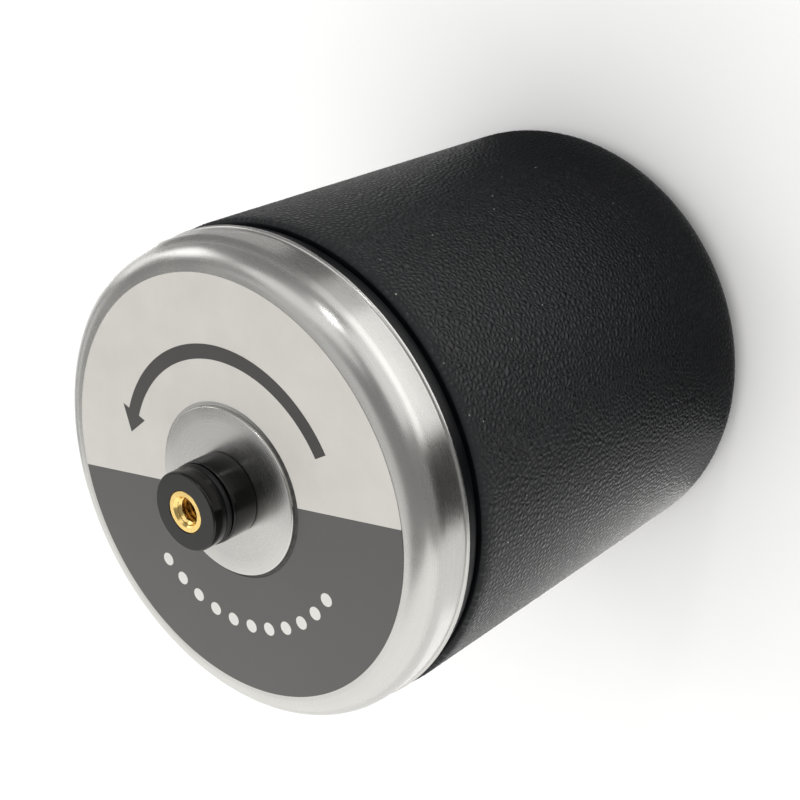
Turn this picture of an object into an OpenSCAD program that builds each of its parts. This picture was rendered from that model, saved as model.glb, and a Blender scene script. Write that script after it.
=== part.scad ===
// Rock tumbling barrel: a moulded rubber barrel, closed by an inner lid on a threaded stud,
// an outer spun cap and a screw-down knob. It stands on its closed end, with +Z along its axis
// towards the lid and the origin at the centre of the closed end.

/* [Barrel] */
// Outside diameter of the rubber barrel, the track that rides on the drive rollers
barrel_d = 114.3; // [112:0.1:122]
// Height of the rubber barrel from its closed end to its lip
barrel_h = 127.5; // [100:0.5:160]
// Edge radius of the closed end
end_round = 8; // [4:0.5:9]
// Thickness of the closed end
floor_t = 10; // [9.5:0.5:14]
// Distance of the shoulder below the lip
shoulder_drop = 15.6; // [14.5:0.1:18]
// Edge radius of the shoulder
shoulder_round = 1.2; // [0.5:0.1:2]
// Diameter of the smooth collar between the cap and the shoulder
collar_d = 111.4; // [109.6:0.1:111.8]
// Width of the groove between the collar and the shoulder
collar_groove_w = 0.8; // [0.4:0.1:1.2]
// Width across opposite flats of the many-sided cavity
cavity_af = 96; // [90:0.5:98]
// Number of flats around the cavity
cavity_sides = 10; // [6:1:12]
// Diameter of the mouth below the ledge
throat_d = 88; // [70:1:90]
// Height of the ring of rubber around the mouth, below the ledge
throat_h = 10; // [8:0.5:14]
// Depth of the ledge that the inner lid sits on, below the lip
ledge_drop = 8.5; // [8.5:0.1:10]

/* [Outer lid] */
// Outside diameter of the spun cap
lid_d = 112.5; // [112:0.1:112.6]
// Metal thickness of the cap
lid_t = 1.2; // [1:0.1:1.2]
// Height of the cap's skirt
skirt_h = 12.9; // [10:0.1:14]
// Corner radius between the cap's face and its skirt
lid_round = 6; // [4:0.25:6]
// Section diameter of the bead around the skirt's edge
rim_bead_d = 1.2; // [0.8:0.1:1.4]
// How far the bead stands proud of the skirt
rim_bead_proud = 0.5; // [0.2:0.1:0.6]
// Diameter of the raised centre of the cap
boss_d = 39.6; // [34:0.2:40]
// Height of the raised centre above the face
boss_h = 1.15; // [0.8:0.05:1.5]

/* [Face label] */
// Outside diameter of the label
label_d = 99; // [90:0.5:100]
// Diameter of the label's centre hole
label_hole_d = 41.2; // [40.8:0.2:46]
// Thickness of the label
label_t = 0.15; // [0.1:0.05:0.3]

/* [Inner lid] */
// Outside diameter of the pressed inner lid
inner_lid_d = 96; // [92:0.2:96.4]
// Metal thickness of the inner lid
inner_lid_t = 1.2; // [0.8:0.1:1.2]
// Height of the inner lid's upstanding rim
inner_rim_h = 7; // [5:0.5:7]
// Distance from the axis to the pressed stiffening bead
bead_r = 31; // [20:0.5:36]

/* [Stud] */
// Diameter of the stud, taken at the middle of its thread
stud_d = 5.6; // [5.4:0.1:5.8]
// Distance from the stud's end to the knob's front face
stud_end_drop = 5; // [4:0.5:7]
// Width across the flats of the stud's head and nut
hex_af = 11.1; // [10:0.1:12]
// Thickness of the stud's head and of its nut
hex_t = 4; // [3:0.1:4]
// Diameter of the gasket and the washer on the stud
stud_washer_d = 16; // [13:0.5:18]

/* [Knob] */
// Diameter of the knob's rear part
knob_d = 19; // [17:0.1:20]
// Diameter of the knob's front part
knob_head_d = 18.3; // [16.8:0.1:18.6]
// Length of the knob
knob_h = 12.3; // [11.5:0.1:14]
// Length of the knob's rear part, behind the ring groove
knob_rear_h = 6.75; // [6:0.05:7]
// Section diameter of the ring in the groove
ring_section = 1.78; // [1.5:0.01:1.9]
// Outside diameter of the threaded insert
insert_d = 9.7; // [9:0.1:10.4]
// Diameter of the countersunk mouth of the insert
insert_mouth_d = 7.2; // [6.6:0.1:7.6]

/* [Hidden] */
$fn = 128;

// Gaps between pieces that move apart, and between a piece and the hole it stands in
seat_gap = 0.1;
lid_gap = 0.3;
side_gap = 0.4;
hole_gap = 0.5;
// Radial clearance of a thread, taken as two plain cylinders
thread_gap = 0.08;
// Overshoot of a cutting shape past the face that it cuts
over = 1;

barrel_r = barrel_d / 2;
lid_r = lid_d / 2;
neck_r = lid_r - lid_t - side_gap;
lip_round = lid_round - lid_t - lid_gap;
shoulder_z = barrel_h - shoulder_drop;
collar_r = collar_d / 2;
collar_gap = 0.5;
collar_round = 0.3;
ledge_z = barrel_h - ledge_drop;
ledge_r = inner_lid_d / 2 + side_gap;
throat_r = throat_d / 2;
throat_round = 3;
cavity_top_z = ledge_z - throat_h;
cavity_flat_r = cavity_af / 2;
cavity_corner_r = cavity_flat_r / cos(180 / cavity_sides);
// Share of each corner's depth that is left after it is rounded off
corner_keep = 0.6;
cavity_trim_r = cavity_flat_r + (cavity_corner_r - cavity_flat_r) * corner_keep;

face_z = barrel_h + lid_gap + lid_t;
skirt_z = face_z - skirt_h;
rim_bead_r = rim_bead_d / 2;
boss_z = face_z + boss_h;
boss_round = 0.4;
stud_hole_r = stud_d / 2 + hole_gap;

inner_z = ledge_z + seat_gap;
inner_r = inner_lid_d / 2;
inner_round = 2;
panel_z = inner_z + inner_lid_t;
bead_arc_r = 2.6;
bead_h = 1.1;

gasket_t = 1.5;
washer_t = 1.2;
seal_section = 2.8;
nut_z = panel_z + washer_t;
seal_z = nut_z + hex_t;
head_z = inner_z - gasket_t - hex_t;
stud_chamfer = 0.6;

knob_z = boss_z + seat_gap;
knob_r = knob_d / 2;
knob_head_r = knob_head_d / 2;
knob_face_z = knob_z + knob_h;
knob_edge = 0.4;
groove_z = knob_z + knob_rear_h;
// Play of the ring in its groove, and how far it stands proud of the knob's front part
ring_play = 0.02;
ring_proud = 0.22;
groove_w = ring_section + 2 * ring_play;
groove_r = knob_head_r + ring_proud - ring_section - ring_play;
head_back_z = groove_z + groove_w;
counterbore_r = 7;
counterbore_t = 1.3;
knob_washer_t = 1.2;
insert_r = insert_d / 2;
insert_z = knob_z + counterbore_t;
insert_sink = 0.1;
insert_bore_r = stud_d / 2 + thread_gap;
stud_top_z = knob_face_z - stud_end_drop;

// Half section from the axis to x1, between z0 and z1, with its two outer corners rounded
module half_section(x1, z0, z1, round_low, round_high) {
    translate([0, z0 + round_low])
        square([x1, z1 - z0 - round_low - round_high]);
    corner(x1, z0, round_low, 1);
    corner(x1, z1, round_high, -1);
}

// One rounded end of a half section: side is 1 for its low end and -1 for its high end
module corner(x1, z, round, side) {
    if (round > 0) {
        translate([0, side > 0 ? z : z - round])
            square([x1 - round, round]);
        intersection() {
            translate([x1 - round, z + side * round])
                circle(round);
            translate([x1 - round, side > 0 ? z : z - round])
                square([round, round]);
        }
    }
}

// Hexagon measured across its flats
module hexagon(across_flats) {
    circle(r = across_flats / 2 / cos(30), $fn = 6);
}

// Flat ring
module washer(outer_r, hole_r, z, thickness) {
    translate([0, 0, z])
        difference() {
            cylinder(r = outer_r, h = thickness);
            translate([0, 0, -over])
                cylinder(r = hole_r, h = thickness + 2 * over);
        }
}

// Ring of round section, lying between z and z + section
module round_ring(inside_r, z, section) {
    translate([0, 0, z + section / 2])
        rotate_extrude()
            translate([inside_r + section / 2, 0])
                circle(d = section);
}

// Outside of the barrel: the roller track, the narrower neck that the cap covers, and the
// smooth collar that shows below the cap
module barrel_outside() {
    rotate_extrude() {
        half_section(barrel_r, 0, shoulder_z, end_round, shoulder_round);
        half_section(neck_r, shoulder_z - over, barrel_h, 0, lip_round);
        half_section(
            collar_r, shoulder_z + collar_groove_w, skirt_z - collar_gap, collar_round, collar_round
        );
    }
}

// Tumbling chamber: flats joined by short round corners
module cavity() {
    translate([0, 0, floor_t])
        linear_extrude(cavity_top_z - floor_t)
            intersection() {
                circle(r = cavity_corner_r, $fn = cavity_sides);
                circle(r = cavity_trim_r);
            }
}

// Mouth: a throat with rounded edges, then the recess that holds the inner lid
module mouth() {
    rotate_extrude() {
        translate([0, cavity_top_z - over])
            square([throat_r, throat_h + 2 * over]);
        difference() {
            translate([0, cavity_top_z - over])
                square([throat_r + throat_round, throat_round + over]);
            translate([throat_r + throat_round, cavity_top_z + throat_round])
                circle(throat_round);
        }
        translate([0, ledge_z])
            square([ledge_r, barrel_h - ledge_z + over]);
    }
}

module barrel_body() {
    color("#1c1c1e")
        difference() {
            barrel_outside();
            cavity();
            mouth();
        }
}

// Section of the bead that is pressed up from a sheet face at z
module bead(z) {
    translate([bead_r, z - bead_arc_r + bead_h])
        circle(r = bead_arc_r);
}

// Pressed tray with an upstanding rim, a stiffening bead and a hole for the stud
module inner_lid() {
    color("#b9bcbf")
        rotate_extrude()
            difference() {
                half_section(inner_r, inner_z, inner_z + inner_rim_h, inner_round, 0);
                difference() {
                    half_section(
                        inner_r - inner_lid_t, panel_z, inner_z + inner_rim_h + over,
                        inner_round - inner_lid_t, 0
                    );
                    bead(panel_z);
                }
                bead(inner_z);
                translate([0, inner_z - over])
                    square([stud_hole_r, inner_lid_t + 2 * over]);
            }
}

module lid_stud() {
    color("#c9cbcc") {
        translate([0, 0, head_z])
            linear_extrude(hex_t)
                hexagon(hex_af);
        rotate_extrude()
            polygon([
                [0, head_z],
                [stud_d / 2, head_z],
                [stud_d / 2, stud_top_z - stud_chamfer],
                [stud_d / 2 - stud_chamfer, stud_top_z],
                [0, stud_top_z]
            ]);
    }
}

module stud_gasket() {
    color("#222224")
        washer(stud_washer_d / 2, stud_d / 2 + thread_gap, inner_z - gasket_t, gasket_t);
}

module stud_washer() {
    color("#c4c6c8")
        washer(stud_washer_d / 2, stud_hole_r, panel_z, washer_t);
}

module stud_nut() {
    color("#c9cbcc")
        translate([0, 0, nut_z])
            difference() {
                linear_extrude(hex_t)
                    hexagon(hex_af);
                translate([0, 0, -over])
                    cylinder(r = stud_d / 2 + thread_gap, h = hex_t + 2 * over);
            }
}

module stud_seal() {
    color("#1a1a1b")
        round_ring(stud_d / 2 + thread_gap, seal_z, seal_section);
}

// Spun cap with a rounded corner, a straight skirt with a beaded edge, and a raised centre
// with the stud hole
module outer_lid() {
    color("#cfcfcc")
        rotate_extrude()
            difference() {
                union() {
                    half_section(lid_r, skirt_z + rim_bead_r, face_z, 0, lid_round);
                    translate([lid_r + rim_bead_proud - rim_bead_r, skirt_z + rim_bead_r])
                        circle(rim_bead_r);
                    half_section(boss_d / 2, face_z - lid_t, boss_z, 0, boss_round);
                }
                half_section(lid_r - lid_t, skirt_z - over, face_z - lid_t, 0, lid_round - lid_t);
                translate([0, face_z - lid_t - over])
                    square([boss_d / 2 - lid_t, boss_h + over]);
                translate([0, face_z - lid_t])
                    square([stud_hole_r, lid_t + boss_h + over]);
            }
}

module face_label() {
    color("#c9c5be")
        washer(label_d / 2, label_hole_d / 2, face_z, label_t);
}

module knob_washer() {
    color("#d9d6cc")
        washer(counterbore_r - side_gap / 2, stud_hole_r, knob_z, knob_washer_t);
}

// Knob: a rear part, a groove for the ring, and a head with a small bevel around its face
module knob_body() {
    color("#151515")
        rotate_extrude()
            difference() {
                union() {
                    half_section(knob_r, knob_z, groove_z, knob_edge, knob_edge);
                    half_section(groove_r, groove_z - over, head_back_z + over, 0, 0);
                    half_section(knob_head_r, head_back_z, knob_face_z, knob_edge, knob_edge);
                }
                translate([0, knob_z - over])
                    square([counterbore_r, counterbore_t + over]);
                translate([0, knob_z])
                    square([insert_r, knob_h + over]);
            }
}

module knob_insert() {
    color("#d9a441")
        rotate_extrude()
            polygon([
                [insert_bore_r, insert_z],
                [insert_r, insert_z],
                [insert_r, knob_face_z - insert_sink],
                [insert_mouth_d / 2, knob_face_z - insert_sink],
                [insert_bore_r, knob_face_z - insert_sink - (insert_mouth_d / 2 - insert_bore_r)]
            ]);
}

module knob_ring() {
    color("#0e0e0e")
        round_ring(groove_r + ring_play, groove_z + ring_play, ring_section);
}

barrel_body();
inner_lid();
lid_stud();
stud_gasket();
stud_washer();
stud_nut();
stud_seal();
outer_lid();
face_label();
knob_washer();
knob_body();
knob_insert();
knob_ring();
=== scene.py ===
import math
from collections import namedtuple

import bpy
import numpy as np
from mathutils import Matrix, Vector


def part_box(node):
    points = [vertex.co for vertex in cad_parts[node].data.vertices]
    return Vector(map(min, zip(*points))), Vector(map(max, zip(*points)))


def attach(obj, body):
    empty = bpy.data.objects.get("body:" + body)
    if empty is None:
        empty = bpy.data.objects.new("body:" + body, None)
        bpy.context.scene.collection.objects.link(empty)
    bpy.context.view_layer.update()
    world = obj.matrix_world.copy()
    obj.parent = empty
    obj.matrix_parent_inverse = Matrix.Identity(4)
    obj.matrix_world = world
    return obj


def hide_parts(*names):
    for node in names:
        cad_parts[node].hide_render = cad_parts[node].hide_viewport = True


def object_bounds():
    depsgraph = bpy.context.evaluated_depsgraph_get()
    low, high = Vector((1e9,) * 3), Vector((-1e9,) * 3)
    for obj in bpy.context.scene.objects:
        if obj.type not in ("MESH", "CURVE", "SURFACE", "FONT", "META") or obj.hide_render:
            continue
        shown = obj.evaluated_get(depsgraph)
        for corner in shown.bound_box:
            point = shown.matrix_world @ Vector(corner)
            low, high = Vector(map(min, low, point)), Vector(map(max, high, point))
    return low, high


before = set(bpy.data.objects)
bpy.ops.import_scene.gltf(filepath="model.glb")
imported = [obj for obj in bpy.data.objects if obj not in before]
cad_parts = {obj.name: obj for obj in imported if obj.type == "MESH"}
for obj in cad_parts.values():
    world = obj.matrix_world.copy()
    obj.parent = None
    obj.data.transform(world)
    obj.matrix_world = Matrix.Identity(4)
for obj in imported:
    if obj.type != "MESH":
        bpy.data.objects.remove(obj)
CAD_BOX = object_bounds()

bl_info = {
    "name": "Rock tumbling barrel",
    "version": (1, 0, 0),
    "blender": (4, 5, 0),
    "location": "3D View > Sidebar > Tumbling barrel",
    "description": "Builds a rubber tumbling barrel with its lids, stud and screw-down knob",
    "category": "Add Mesh",
}

MM = 0.001
TURN = 2 * math.pi
# Thread of the stud: 20 threads to the inch, seen as a 60 degree V with flat crests
PITCH = 25.4 / 20 * MM
# What most noise values lie between, and noise in soft clouds
NOISE_RANGE = {"From Min": 0.3, "From Max": 0.7}
CLOUDS = {"Detail": 3.0, "Roughness": 0.6}
# Faces that meet at more than this angle have a crisp edge between them
CRISP = math.radians(32)
# A row of points around the axis: radius and height, each one number or one for every column
Row = namedtuple("Row", "radius height")


def low(node):
    """Lowest corner of a CAD node."""
    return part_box(node)[0]


def high(node):
    """Highest corner of a CAD node."""
    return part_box(node)[1]


def linear(hex_colour):
    """Turns an sRGB hex colour into linear red, green and blue."""
    shares = [int(hex_colour[i:i + 2], 16) / 255 for i in (1, 3, 5)]
    return tuple(s / 12.92 if s <= 0.04045 else ((s + 0.055) / 1.055) ** 2.4 for s in shares)


def length(name, description, default, soft_max=0.2):
    """A size in metres."""
    return bpy.props.FloatProperty(
        name=name, description=description, default=default, min=0, soft_max=soft_max,
        precision=5, subtype="DISTANCE", unit="LENGTH")


def colour(name, description, hex_colour):
    """A colour that the user may change."""
    return bpy.props.FloatVectorProperty(
        name=name, description=description, default=linear(hex_colour), size=3, min=0, max=1,
        subtype="COLOR")


class BarrelSizes(bpy.types.PropertyGroup):
    wall_radius: length("Wall radius", "Outside radius of the pebbled wall", high("barrel_body").x)
    end_round: length("End edge", "Edge radius of the closed end", 8 * MM)
    shoulder_drop: length("Shoulder drop", "Distance of the shoulder below the lip", 15.6 * MM)
    shoulder_round: length("Shoulder edge", "Edge radius of the shoulder", 1.2 * MM)
    collar_radius: length("Collar radius", "Radius of the smooth collar below the cap", 55.7 * MM)
    collar_round: length("Collar edge", "Edge radius of the collar", 0.45 * MM)
    groove_width: length("Groove width", "Width of the groove behind the collar", 0.8 * MM)
    neck_radius: length("Neck radius", "Radius of the neck that the cap covers", 54.65 * MM)
    lip_round: length("Lip edge", "Outer edge radius of the lip", 4.5 * MM)
    floor_thickness: length("Floor", "Thickness of the closed end", 10 * MM)
    cavity_flat: length("Cavity radius", "Distance from the axis to a flat of the cavity", 48 * MM)
    throat_radius: length("Throat radius", "Radius of the mouth below the ledge", 44 * MM)
    ledge_drop: length("Ledge drop", "Depth of the inner lid's ledge below the lip", 8.5 * MM)
    throat_height: length("Throat height", "Height of the rubber ring round the mouth", 10 * MM)
    grain: length("Grain size", "Typical distance from one pebble of the grain to the next",
                  1.4 * MM, 0.005)
    grain_depth: length("Grain depth", "Height of the pebbles over the valleys between them",
                        0.12 * MM, 0.001)


class LidSizes(bpy.types.PropertyGroup):
    metal: length("Metal", "Thickness of the cap's metal", 1.2 * MM)
    cap_round: length("Cap corner", "Corner radius between face and skirt", 6 * MM)
    bead_radius: length("Bead", "Section radius of the bead round the skirt's edge", 0.6 * MM)
    bead_proud: length("Bead height", "How far the bead stands proud of the skirt", 0.5 * MM)
    boss_radius: length("Boss radius", "Radius of the cap's raised centre", 19.8 * MM)
    stud_hole: length("Stud hole", "Radius of the hole for the stud in both lids", 3.3 * MM)
    rib_radius: length("Rib radius", "Distance from the axis to the inner lid's pressed rib",
                       31 * MM)
    rib_height: length("Rib height", "Height of the inner lid's pressed rib", 1.1 * MM)
    rib_half_width: length("Rib half width", "Half the width of the pressed rib", 2.2 * MM)


class LabelSizes(bpy.types.PropertyGroup):
    hole: length("Hole", "Radius of the hole round the cap's raised centre", 20.6 * MM)
    split_angle: bpy.props.FloatProperty(
        name="Split angle", description="Tilt of the line between the label's two halves",
        default=math.radians(-5.6), subtype="ANGLE", unit="ROTATION")
    split_offset: length("Split offset", "How far the line passes below the axis", 0.8 * MM)
    arrow_radius: length("Arrow radius", "Radius of the turning arrow's arc", 32 * MM)
    arrow_width: length("Arrow width", "Width of the turning arrow's arc", 3.4 * MM)
    dot_radius: length("Dot radius", "Radius of one dot of the lower row", 1.6 * MM)
    dots: bpy.props.IntProperty(
        name="Dots", description="Number of dots in the lower row", default=11, min=0, max=40)


class StudSizes(bpy.types.PropertyGroup):
    crest: length("Crest radius", "Radius over the stud's thread", 3.1 * MM)
    root: length("Root radius", "Radius at the bottom of the stud's thread", 2.45 * MM)
    play: length("Thread play", "Radial play between the stud's thread and the insert's", 0.09 * MM)
    across_flats: length("Across flats", "Width of the head and the nut across their flats",
                         11.1 * MM)
    head_height: length("Head height", "Height of the head and of the nut", 4 * MM)


class KnobSizes(bpy.types.PropertyGroup):
    rear_length: length("Rear length", "Length of the knob's rear part", 6.75 * MM)
    head_radius: length("Head radius", "Radius of the knob's front part", 9.15 * MM)
    edge: length("Edge", "Edge radius of the knob", 0.45 * MM)
    counterbore: length("Counterbore", "Radius of the recess for the washer", 7 * MM)
    counterbore_depth: length("Counterbore depth", "Depth of the recess", 1.3 * MM)
    mouth_radius: length("Mouth radius", "Radius of the insert's countersunk mouth", 3.65 * MM)


class FinishColours(bpy.types.PropertyGroup):
    rubber: colour("Rubber", "Moulded rubber of the barrel", "#0D0F13")
    # Also paints the highlight along the shoulder's edge
    dust: colour("Dust", "Rock dust and lint on the rubber", "#B9B7AE")
    seal: colour("Seal rubber", "Rubber of the seals and the knob's ring", "#0D0D0E")
    aluminium: colour("Aluminium", "Spun aluminium of the cap", "#C1C0BD")
    film_light: colour("Light film", "Upper half of the label", "#BFBCB6")
    film_dark: colour("Dark film", "Lower half of the label", "#454442")
    ink_dark: colour("Dark ink", "Turning arrow", "#322F2E")
    ink_light: colour("Light ink", "Dots", "#CFCDC8")
    zinc: colour("Zinc", "Zinc-plated steel", "#C3C5C7")
    knob: colour("Knob", "Moulded plastic of the knob", "#070707")
    knob_face: colour("Knob face", "Satin front face of the knob", "#141413")
    brass: colour("Brass", "Machined brass of the insert", "#F0D084")
    # Painted shade: colour of the brass down in the insert's thread
    brass_in_shade: colour("Oiled brass", "Oily brass down in the insert's thread", "#B47A2C")
    nylon: colour("Nylon", "Natural nylon of the washer", "#DEDACB")


class StageSettings(bpy.types.PropertyGroup):
    lens: bpy.props.FloatProperty(
        name="Lens", description="Focal length on a 36 mm sensor", default=70.05,
        min=10, subtype="DISTANCE_CAMERA", unit="CAMERA")
    azimuth: bpy.props.FloatProperty(
        name="Azimuth", description="Direction of the camera from the barrel, from +X towards +Y",
        default=math.radians(19.636), subtype="ANGLE", unit="ROTATION")
    elevation: bpy.props.FloatProperty(
        name="Elevation", description="Height of the camera above the horizon",
        default=math.radians(45.0), subtype="ANGLE", unit="ROTATION")
    roll: bpy.props.FloatProperty(
        name="Roll", description="Turn of the camera about its line of sight, which lays the "
        "barrel on its side in the picture",
        default=math.radians(-115.6), subtype="ANGLE", unit="ROTATION")
    distance: length("Distance", "Distance of the camera from its aim", 384.74 * MM, 2)
    aim: bpy.props.FloatVectorProperty(
        name="Aim", description="Point that the camera looks at",
        default=(-0.59 * MM, 1.67 * MM, 69.16 * MM), size=3, subtype="XYZ_LENGTH", unit="LENGTH")
    floor: colour("Floor", "Pale floor", "#FAFAF9")


class TumblingBarrel(bpy.types.PropertyGroup):
    barrel: bpy.props.PointerProperty(type=BarrelSizes)
    lids: bpy.props.PointerProperty(type=LidSizes)
    label: bpy.props.PointerProperty(type=LabelSizes)
    stud: bpy.props.PointerProperty(type=StudSizes)
    knob: bpy.props.PointerProperty(type=KnobSizes)
    colours: bpy.props.PointerProperty(type=FinishColours)
    stage: bpy.props.PointerProperty(type=StageSettings)


# ---------------------------------------------------------------- shapes turned about the axis

def arc(centre_radius, centre_height, radius, start, end, steps=8):
    """Rows along an arc of a section, from angle start to angle end in degrees."""
    angles = [math.radians(start + (end - start) * i / steps) for i in range(steps + 1)]
    return [Row(centre_radius + radius * math.cos(a), centre_height + radius * math.sin(a))
            for a in angles]


def rise(radius, start, end, step):
    """Rows up or down a straight wall, about step apart, with both ends left out."""
    count = max(1, round(abs(end - start) / step))
    return [Row(radius, start + (end - start) * i / count) for i in range(1, count)]


def ring_rows(inner, outer, bottom, top, edge, steps=3):
    """Closed section of a flat ring with rounded edges."""
    return (arc(outer - edge, bottom + edge, edge, -90, 0, steps)
            + arc(outer - edge, top - edge, edge, 0, 90, steps)
            + arc(inner + edge, top - edge, edge, 90, 180, steps)
            + arc(inner + edge, bottom + edge, edge, 180, 270, steps))


def around(columns):
    """Angle of each column."""
    return np.arange(columns) * TURN / columns


def on_axis(row):
    """Whether a row is one point on the axis."""
    return np.ndim(row.radius) == 0 and row.radius == 0


def turn(name, rows, columns, closed=False):
    """Piece swept about the axis through rows; a row of radius 0 is one point on the axis.

    A closed section's last row joins its first.
    """
    angles = around(columns)
    points, rings = [], []
    for row in rows:
        if on_axis(row):
            rings.append([len(points)] * columns)
            points.append((0, 0, float(row.height)))
            continue
        radius = np.broadcast_to(row.radius, columns)
        height = np.broadcast_to(row.height, columns)
        rings.append(list(range(len(points), len(points) + columns)))
        points.extend(zip(radius * np.cos(angles), radius * np.sin(angles), height))
    faces = []
    pairs = list(zip(rings, rings[1:]))
    if closed:
        pairs.append((rings[-1], rings[0]))
    for near, far in pairs:
        for i in range(columns):
            j = (i + 1) % columns
            corners = [near[i], near[j], far[j], far[i]]
            faces.append(list(dict.fromkeys(corners)))
    return piece_from(name, points, faces)


def piece_from(name, points, faces):
    """Object with smooth faces that turn outwards, and crisp edges where they meet sharply."""
    mesh = bpy.data.meshes.new(name)
    mesh.from_pydata([tuple(map(float, p)) for p in points], [], faces)
    mesh.validate()
    mesh.shade_smooth()
    mesh.set_sharp_from_angle(angle=CRISP)
    piece = bpy.data.objects.new(name, mesh)
    bpy.context.scene.collection.objects.link(piece)
    return piece


def place(piece, body, slot, node, *materials):
    """Rides the piece on its body, in place of its CAD node, and gives it its materials."""
    for material in materials:
        piece.data.materials.append(material)
    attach(piece, body)
    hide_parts(node)


def paint(piece, slot_of_face):
    """Gives each face the material slot that slot_of_face returns for its centre."""
    for face in piece.data.polygons:
        face.material_index = slot_of_face(face.center)


def thread(columns, height, root, crest):
    """Radius of a right-hand V thread at one height, for each column."""
    phase = (height / PITCH - around(columns) / TURN) % 1
    flat = 0.12
    slope = (np.abs(2 * phase - 1) - flat) / (1 - 2 * flat)
    return root + (crest - root) * np.clip(slope, 0, 1)


def hexagon(columns, across):
    """Radius of a hexagon for each column, with a corner at the first."""
    sixth = TURN / 6
    return across / 2 / np.cos(around(columns) % sixth - sixth / 2)


# ---------------------------------------------------------------- material building blocks

def add(tree, kind, inputs=None, to=None, **settings):
    """Adds a node with its settings and links.

    inputs holds values, or the sockets or nodes that feed them; to is a socket that the node
    feeds. A node feeds another from its first output in use.
    """
    def result(source):
        return next(socket for socket in source.outputs if socket.enabled)

    node = tree.nodes.new(kind)
    for key, value in settings.items():
        setattr(node, key, value)
    for key, value in (inputs or {}).items():
        if isinstance(value, bpy.types.Node):
            value = result(value)
        if isinstance(value, bpy.types.NodeSocket):
            tree.links.new(value, node.inputs[key])
        else:
            node.inputs[key].default_value = value
    if to:
        tree.links.new(result(node), to)
    return node


def new_material(name, **values):
    """Material with one shader; values are uniform and go straight on the shader's sockets.

    Also gives the place on the piece, in metres, which moves with it.
    """
    material = bpy.data.materials.new(name)
    material.use_nodes = True
    tree = material.node_tree
    shader = tree.nodes["Principled BSDF"]
    for key, value in values.items():
        shader.inputs[key.replace("_", " ")].default_value = value
    return material, tree, shader, add(tree, "ShaderNodeTexCoord").outputs["Object"]


def rgba(rgb, factor=1.0):
    """Colour with alpha, made lighter or darker by a factor."""
    return tuple(min(1.0, c * factor) for c in rgb) + (1.0,)


def vary(tree, shader, clouds, dark, light, gloss_pattern, gloss):
    """Colour that drifts from dark to light with one pattern, and roughness with another."""
    share = add(tree, "ShaderNodeMapRange", NOISE_RANGE | {"Value": clouds})
    add(tree, "ShaderNodeMix", {"Factor": share, 6: dark, 7: light},
        shader.inputs["Base Color"], data_type="RGBA")
    add(tree, "ShaderNodeMapRange",
        NOISE_RANGE | {"Value": gloss_pattern, "To Min": gloss[0], "To Max": gloss[1]},
        shader.inputs["Roughness"])


def mottled(name, shade, clouds, shades, gloss, grain, depth, strength=1.0, **values):
    """Material whose colour and gloss drift in soft clouds, over a fine moulded relief.

    shades are the darkest and lightest shares of the colour, gloss the roughness of each;
    clouds, grain and depth are real sizes.
    """
    material, tree, shader, position = new_material(name, **values)
    cloud = add(tree, "ShaderNodeTexNoise", CLOUDS | {"Vector": position, "Scale": 1 / clouds})
    vary(tree, shader, cloud, rgba(shade, shades[0]), rgba(shade, shades[1]), cloud, gloss)
    fine = add(tree, "ShaderNodeTexNoise",
               {"Vector": position, "Scale": 1 / grain, "Detail": 2.0, "Roughness": 0.6})
    add(tree, "ShaderNodeBump", {"Height": fine, "Distance": depth, "Strength": strength},
        shader.inputs["Normal"])
    return material, shader


def turning_lines(tree, position, spacing):
    """Fine lines that run round the axis, as a lathe or a spinning tool leaves them."""
    flat = add(tree, "ShaderNodeVectorMath", {0: position, 1: (1, 1, 0)}, operation="MULTIPLY")
    radius = add(tree, "ShaderNodeVectorMath", {0: flat}, operation="LENGTH")
    parts = add(tree, "ShaderNodeSeparateXYZ", {0: position})
    across = add(tree, "ShaderNodeCombineXYZ", {"X": radius, "Y": parts.outputs["Z"]})
    return add(tree, "ShaderNodeTexNoise",
               {"Vector": across, "Scale": 1 / spacing, "Detail": 3.0, "Roughness": 0.7},
               noise_dimensions="2D")


def lathed(name, shade, clouds, shades, spacing, gloss, depth, strength, **values):
    """Material with soft clouds of colour, whose turning lines give its gloss and relief."""
    material, tree, shader, position = new_material(name, **values)
    cloud = add(tree, "ShaderNodeTexNoise", CLOUDS | {"Vector": position, "Scale": 1 / clouds})
    lines = turning_lines(tree, position, spacing)
    vary(tree, shader, cloud, rgba(shade, shades[0]), rgba(shade, shades[1]), lines, gloss)
    add(tree, "ShaderNodeBump", {"Height": lines, "Distance": depth, "Strength": strength},
        shader.inputs["Normal"])
    return material


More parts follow.
